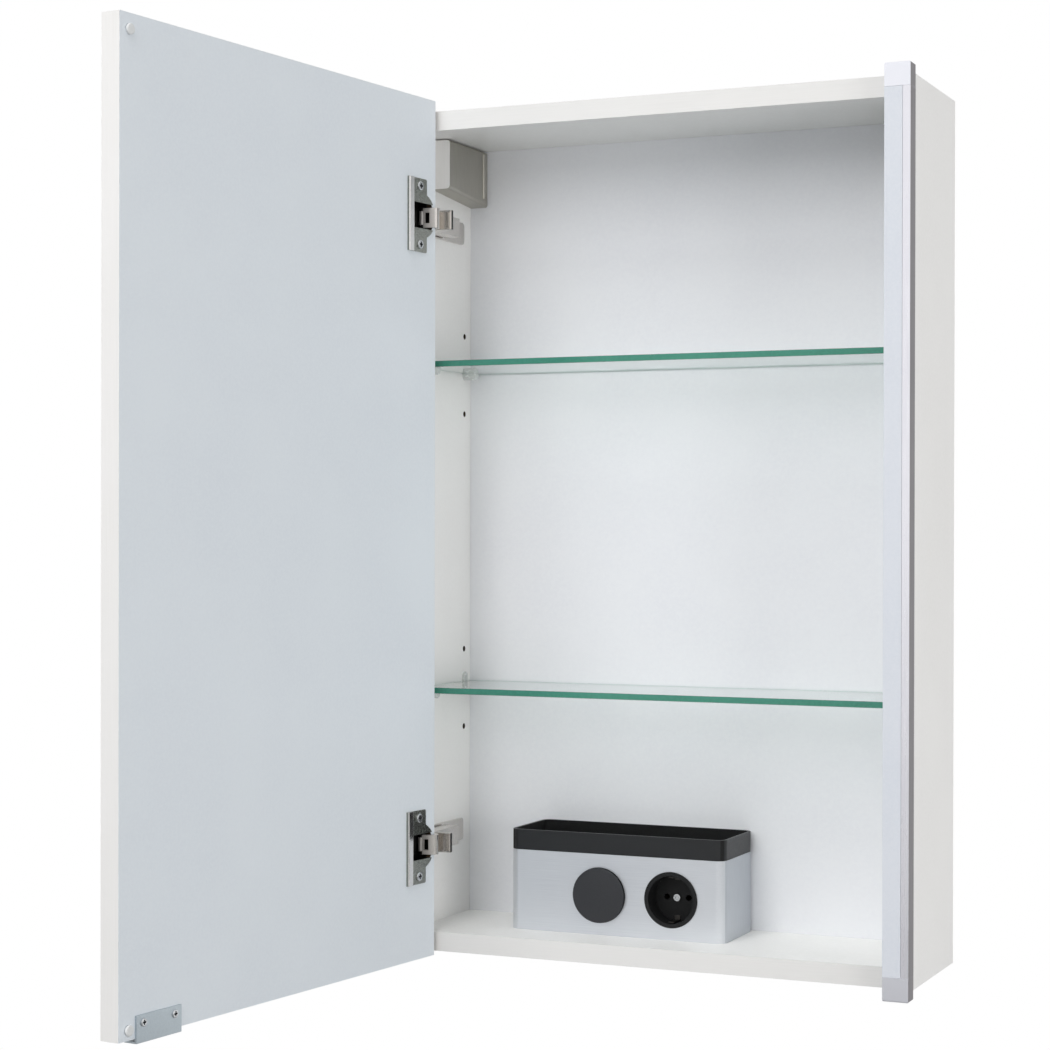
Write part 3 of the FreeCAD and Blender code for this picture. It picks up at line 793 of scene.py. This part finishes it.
@dataclass
class Hinges(SubAssembly):
    """Arms and plates on the carcass, cups in the door.

    Attributes:
        rib_mm: how far the rib of a cup stands above its flange.
        cup_shade_mm: how far below the rib the painted shade inside a cup begins.
        link_mm: how far from the pin the link of the hook reaches before it bends.
        head_mm: where the head of an arm lies behind the pin, from and to.
        rib_cosine: how far the rounded top of a rib may turn from the door's face.
        head_cosine: how squarely the side of a head looks to the right.
    """

    ease_mm: float = 0.2
    rib_mm: float = 1.0
    cup_shade_mm: float = 3.6
    link_mm: float = 12.6
    head_mm: tuple[float, float] = (16.8, 21.0)
    rib_cosine: float = 0.3
    head_cosine: float = 0.8

    def finishes(self) -> dict[str, Finish]:
        """List the finishes.

        Returns:
            The finish of each node.
        """
        found = {}
        for level in Level:
            for part in ("arm", "plate", "cup"):
                found[f"hinge_{part}_{level.value}"] = BRIGHT_NICKEL
        found["hinge_plate_screws"] = BRIGHT_NICKEL
        found["hinge_cup_screws"] = BRIGHT_ZINC
        for part in ("pins", "springs"):
            found[f"hinge_{part}"] = GREASE_AND_PAINTED_SHADE
        return found

    def detail(self, node: str, piece: bpy.types.Object) -> None:
        """Dress the parts of a cup and of an arm that differ from plain nickel.

        Args:
            node: the node.
            piece: its piece.
        """
        if node.startswith("hinge_cup_") and not node.endswith("screws"):
            self.dress_cup(piece)
        if node.startswith("hinge_arm_"):
            self.dress_arm(piece)

    def dress_cup(self, piece: bpy.types.Object) -> None:
        """Paint a highlight on the rib of a cup, a darker reflection on its flange and shade inside it.

        Args:
            piece: the cup.
        """
        normal = door_normal()
        crest = max(v.co.dot(normal) for v in piece.data.vertices)
        flange = crest - self.rib_mm * MM
        cup_shade = crest - self.cup_shade_mm * MM

        def on_rib(face: bpy.types.MeshPolygon) -> bool:
            """Tell whether a face lies on the rounded top of the rib."""
            return face.normal.dot(normal) > self.rib_cosine and face.center.dot(normal) > flange

        # Painted dark reflection on the flange, painted highlight on the rib, painted shade inside the cup.
        dress_faces(piece, NICKEL_PAINTED_DARK_REFLECTION, lambda face: face.center.dot(normal) > cup_shade)
        dress_faces(piece, NICKEL_PAINTED_HIGHLIGHT, on_rib)
        dress_faces(piece, GREASE_AND_PAINTED_SHADE, lambda face: face.center.dot(normal) < cup_shade)

    def dress_arm(self, piece: bpy.types.Object) -> None:
        """Dull the link of an arm and paint shade on the right side of its head.

        Args:
            piece: the arm.
        """
        pin = hinge_pin()
        near, far = (pin.y + reach * MM for reach in self.head_mm)

        def head_side_in_shade(face: bpy.types.MeshPolygon) -> bool:
            """Tell whether a face lies on the right side of the head, where shade is painted."""
            return face.normal.x > self.head_cosine and near < face.center.y < far

        dress_faces(piece, BARREL_NICKEL, lambda face: (face.center - pin).xy.length < self.link_mm * MM)
        # Painted shade on the right side of the head.
        dress_faces(piece, GREASE_AND_PAINTED_SHADE, head_side_in_shade)


@dataclass
class Lamp(SubAssembly):
    """One upright lamp on a front edge of the carcass.

    Attributes:
        side: the edge that it is on.
        outer_cosine: how squarely the faces with painted shade look away from the cabinet.
    """

    ease_mm: float = 0.25
    side: Side = Side.RIGHT
    outer_cosine: float = 0.8

    def finishes(self) -> dict[str, Finish]:
        """List the finishes.

        Returns:
            The finish of each node.
        """
        name = self.side.value
        return {
            f"lamp_profile_{name}": ANODISED_UPRIGHT,
            f"lamp_diffuser_{name}": OPAL_ACRYLIC,
            f"lamp_led_strip_{name}": DIODE_STRIP,
            f"lamp_end_caps_{name}": SILVER_ABS,
        }

    def detail(self, node: str, piece: bpy.types.Object) -> None:
        """Paint shade on the outer side of the profile and of the caps.

        Args:
            node: the node.
            piece: its piece.
        """
        outwards = 1.0 if self.side is Side.RIGHT else -1.0
        if "profile" in node or "caps" in node:
            # Painted shade on the outer faces.
            dress_faces(piece, ALUMINIUM_PAINTED_SHADE, lambda face: face.normal.x * outwards > self.outer_cosine)


@dataclass
class LampScrews(SubAssembly):
    """Screws that hold both lamps."""

    def finishes(self) -> dict[str, Finish]:
        """Return the finish of each node."""
        return {"lamp_screws": BRIGHT_ZINC}


@dataclass
class SocketBox(SubAssembly):
    """Box with tray, switch and socket on the bottom panel.

    Attributes:
        tray_wall_mm: how far inside the tray's outline its painted shade begins.
        end_cosine: how squarely the ends of the sleeve look sideways.
    """

    tray_wall_mm: float = 1.4
    end_cosine: float = 0.9

    def finishes(self) -> dict[str, Finish]:
        """List the finishes.

        Returns:
            The finish of each node.
        """
        return {
            "socket_box_sleeve": ANODISED_LEVEL,
            "socket_box_base": BLACK_ABS,
            "socket_box_tray": BLACK_ABS,
            "socket_box_screws": BRIGHT_ZINC,
            "socket_insert": BLACK_ABS_PAINTED_SHADE,
            "socket_contacts": BRASS,
            "socket_earth_clips": DULL_BRONZE,
            "socket_centre_screw": BRIGHT_ZINC,
            "switch_bezel": BLACK_ABS,
            "switch_mechanism": BLACK_ABS,
            "switch_button": CHARCOAL_ABS,
            "led_driver": WHITE_HOUSING,
        }

    def detail(self, node: str, piece: bpy.types.Object) -> None:
        """Paint shade on the inside of the tray and on the ends of the sleeve.

        Args:
            node: the node.
            piece: its piece.
        """
        if node == "socket_box_tray":
            # Painted shade inside the tray.
            dress_faces(piece, BLACK_ABS_PAINTED_SHADE, inside(piece, self.tray_wall_mm))
        if node == "socket_box_sleeve":
            # Painted shade on the ends of the sleeve.
            dress_faces(piece, ALUMINIUM_END_PAINTED_SHADE, lambda face: abs(face.normal.x) > self.end_cosine)


@dataclass
class Hangers(SubAssembly):
    """Hangers in the upper corners with their covers and wall plates.

    Attributes:
        front_cosine: how squarely the front of a cover, with its painted reflection, looks to the front.
    """

    front_cosine: float = 0.9

    def finishes(self) -> dict[str, Finish]:
        """List the finishes.

        Returns:
            The finish of each node.
        """
        found = {"hanger_adjusting_screws": BRIGHT_ZINC}
        for side in Side:
            found[f"hanger_cover_{side.value}"] = SATIN_NICKEL
            found[f"hanger_body_{side.value}"] = CAST_ZINC
            found[f"hanger_hook_{side.value}"] = GALVANISED
            found[f"wall_plate_{side.value}"] = GALVANISED
        return found

    def detail(self, node: str, piece: bpy.types.Object) -> None:
        """Give a cover its front with a painted reflection.

        Args:
            node: the node.
            piece: its piece.
        """
        if "cover" not in node:
            return
        front = min(corner.co.y for corner in piece.data.vertices) + self.ease_mm * MM

        def in_front(face: bpy.types.MeshPolygon) -> bool:
            """Tell whether a face belongs to the front."""
            return face.center.y < front and -face.normal.y > self.front_cosine

        # Painted reflection on the cover's front.
        dress_faces(piece, COVER_FRONT_PAINTED_REFLECTION, in_front)


@dataclass(frozen=True)
class Softbox:
    """A large square light that looks at the cabinet.

    Attributes:
        name: the light's name.
        turn_deg: direction seen from above, 0 in front and positive to the right.
        lift_deg: height above the horizon.
        away: distance from the cabinet in metres.
        width: edge length in metres.
        watts: power.
    """

    name: str
    turn_deg: float
    lift_deg: float
    away: float
    width: float
    watts: float

    def build(self, target: Vector) -> None:
        """Make the light.

        Args:
            target: the point that it looks at.
        """
        turn, lift = math.radians(self.turn_deg), math.radians(self.lift_deg)
        way = Vector((math.sin(turn) * math.cos(lift), -math.cos(turn) * math.cos(lift), math.sin(lift)))
        light = bpy.data.lights.new(self.name, "AREA")
        light.shape = "SQUARE"
        light.size = self.width
        light.energy = self.watts
        box = bpy.data.objects.new(self.name, light)
        box.location = target + way * self.away
        box.rotation_euler = (-way).to_track_quat("-Z", "Y").to_euler()
        box.visible_glossy = False
        bpy.context.scene.collection.objects.link(box)


@dataclass
class Studio:
    """Camera, soft light, pale floor and white surroundings.

    The camera's place comes from lines of the photograph, in an image of
    1050 by 1050 pixels.

    Attributes:
        image_px: edge length of that image.
        focal_px: focal length.
        middle_px: where the camera's axis meets the image.
        place: where the camera stands, in metres.
        yaw_deg: how far it is turned to the left.
        pitch_deg: how far it looks up.
        roll_deg: how far it is tilted.
        film_mm: width of its film.
        sky: the surroundings' light on matte surfaces.
        softboxes: the lights in front, high in front and at the right.
        target: the point that they look at.
        floor_z: height of the floor.
        floor_half: half its edge length.
        floor_tone: its colour to the pieces that it lights.
        floor_seen: its colour to the camera.
        floor_roughness: its roughness.
        white_y: where it turns to white behind the cabinet, from and to.
    """

    image_px: float = 1050.0
    focal_px: float = 2344.06
    middle_px: tuple[float, float] = (523.22, 541.59)
    place: tuple[float, float, float] = (0.67901, -1.88248, -0.31016)
    yaw_deg: float = 24.03
    pitch_deg: float = -0.24
    roll_deg: float = 0.11
    film_mm: float = 36.0
    sky: float = 0.43
    softboxes: tuple[Softbox, ...] = (
        Softbox("softbox_front", -7.0, 27.0, 4.0, 2.0, 55.0),
        Softbox("softbox_high", -3.0, 57.0, 5.0, 2.4, 89.0),
        Softbox("softbox_right", 68.0, -8.0, 2.4, 1.4, 27.0),
    )
    target: Vector = field(default_factory=lambda: Vector((0.0, -0.15, -0.3)))
    floor_z: float = -0.96
    floor_half: float = 4.0
    floor_tone: str = "#aeaeae"
    floor_seen: str = "#f4f4f4"
    floor_roughness: float = 0.8
    white_y: tuple[float, float] = (0.2, 0.5)

    def camera(self) -> None:
        """Make the camera."""
        lens = bpy.data.cameras.new("camera")
        lens.sensor_width = self.film_mm
        lens.lens = self.film_mm * self.focal_px / self.image_px
        lens.shift_x = 0.5 - self.middle_px[0] / self.image_px
        lens.shift_y = self.middle_px[1] / self.image_px - 0.5
        yaw, pitch, roll = (math.radians(a) for a in (self.yaw_deg, self.pitch_deg, self.roll_deg))
        ahead = Vector((-math.sin(yaw) * math.cos(pitch), math.cos(yaw) * math.cos(pitch), math.sin(pitch)))
        right = Vector((math.cos(yaw), math.sin(yaw), 0.0))
        up = right.cross(ahead)
        tilt, level = math.sin(roll), math.cos(roll)
        right, up = right * level + up * tilt, up * level - right * tilt
        camera = bpy.data.objects.new("camera", lens)
        turned = Matrix((right, up, -ahead)).transposed().to_4x4()
        camera.matrix_world = Matrix.Translation(self.place) @ turned
        bpy.context.scene.collection.objects.link(camera)
        bpy.context.scene.camera = camera

    def seen(self, tree: bpy.types.NodeTree) -> bpy.types.NodeSocket:
        """Add the test for rays that show a surface instead of lighting one.

        Args:
            tree: the node tree to add to.

        Returns:
            1 for camera, glossy and transmission rays, else 0.
        """
        path = add_node(tree, "ShaderNodeLightPath")
        first = add_node(
            tree,
            "ShaderNodeMath",
            {0: path.outputs["Is Camera Ray"], 1: path.outputs["Is Glossy Ray"]},
            operation="MAXIMUM",
        )
        both = add_node(
            tree,
            "ShaderNodeMath",
            {0: first.outputs[0], 1: path.outputs["Is Transmission Ray"]},
            operation="MAXIMUM",
        )
        return both.outputs[0]

    def surroundings(self) -> None:
        """Light the scene evenly and show white to the camera, to metal and to glass."""
        world = bpy.data.worlds.new("white_surroundings")
        bpy.context.scene.world = world
        world.use_nodes = True
        tree = world.node_tree
        sky = tree.nodes["Background"]
        level = add_node(
            tree, "ShaderNodeMapRange", {"Value": self.seen(tree), "To Min": self.sky, "To Max": 1.0}
        )
        sky.inputs["Color"].default_value = WHITE
        tree.links.new(level.outputs[0], sky.inputs["Strength"])

    def floor_material(self) -> bpy.types.Material:
        """Make the pale floor paint, greyer to the pieces than to the camera, white behind the cabinet.

        Returns:
            The material.
        """
        material = bpy.data.materials.new("studio_floor_pale")
        material.use_nodes = True
        tree = material.node_tree
        shader = tree.nodes["Principled BSDF"]
        shader.inputs["Roughness"].default_value = self.floor_roughness
        path = add_node(tree, "ShaderNodeLightPath")
        pale = add_node(
            tree,
            "ShaderNodeMix",
            {
                MIX_SHARE: path.outputs["Is Camera Ray"],
                MIX_FIRST: linear(self.floor_tone),
                MIX_SECOND: linear(self.floor_seen),
            },
            data_type="RGBA",
        )
        tree.links.new(pale.outputs[MIX_RESULT], shader.inputs["Base Color"])
        place = add_node(tree, "ShaderNodeTexCoord")
        depth = add_node(tree, "ShaderNodeSeparateXYZ", {0: place.outputs["Object"]})
        near, far = self.white_y
        behind = add_node(
            tree,
            "ShaderNodeMapRange",
            {"Value": depth.outputs["Y"], "From Min": near, "From Max": far},
            interpolation_type="SMOOTHSTEP",
        )
        shown = add_node(
            tree, "ShaderNodeMath", {0: behind.outputs[0], 1: self.seen(tree)}, operation="MULTIPLY"
        )
        white = add_node(tree, "ShaderNodeEmission", {"Color": WHITE, "Strength": 1.0})
        both = add_node(
            tree, "ShaderNodeMixShader", {0: shown.outputs[0], 1: shader.outputs[0], 2: white.outputs[0]}
        )
        tree.links.new(both.outputs[0], tree.nodes["Material Output"].inputs["Surface"])
        return material

    def floor(self) -> None:
        """Lay the floor."""
        mesh = bpy.data.meshes.new("floor")
        half = self.floor_half
        outline = ((-half, -half), (half, -half), (half, half), (-half, half))
        mesh.from_pydata([(x, y, self.floor_z) for x, y in outline], [], [(0, 1, 2, 3)])
        mesh.materials.append(self.floor_material())
        floor = bpy.data.objects.new("floor", mesh)
        bpy.context.scene.collection.objects.link(floor)

    def build(self) -> None:
        """Make the whole studio."""
        bpy.context.scene.view_settings.view_transform = "Standard"
        self.camera()
        self.surroundings()
        self.floor()
        for softbox in self.softboxes:
            softbox.build(self.target)


def main() -> None:
    """Build every sub-assembly, then the studio."""
    logging.basicConfig(level=logging.INFO, format="%(name)s: %(message)s")
    groups = [
        Carcass(),
        Shelves(),
        Door(),
        Hinges(),
        Lamp(side=Side.LEFT),
        Lamp(side=Side.RIGHT),
        LampScrews(),
        SocketBox(),
        Hangers(),
    ]
    for group in groups:
        LOG.info("building %s", type(group).__name__)
        group.build()
    Studio().build()


if __name__ == "__main__":
    main()
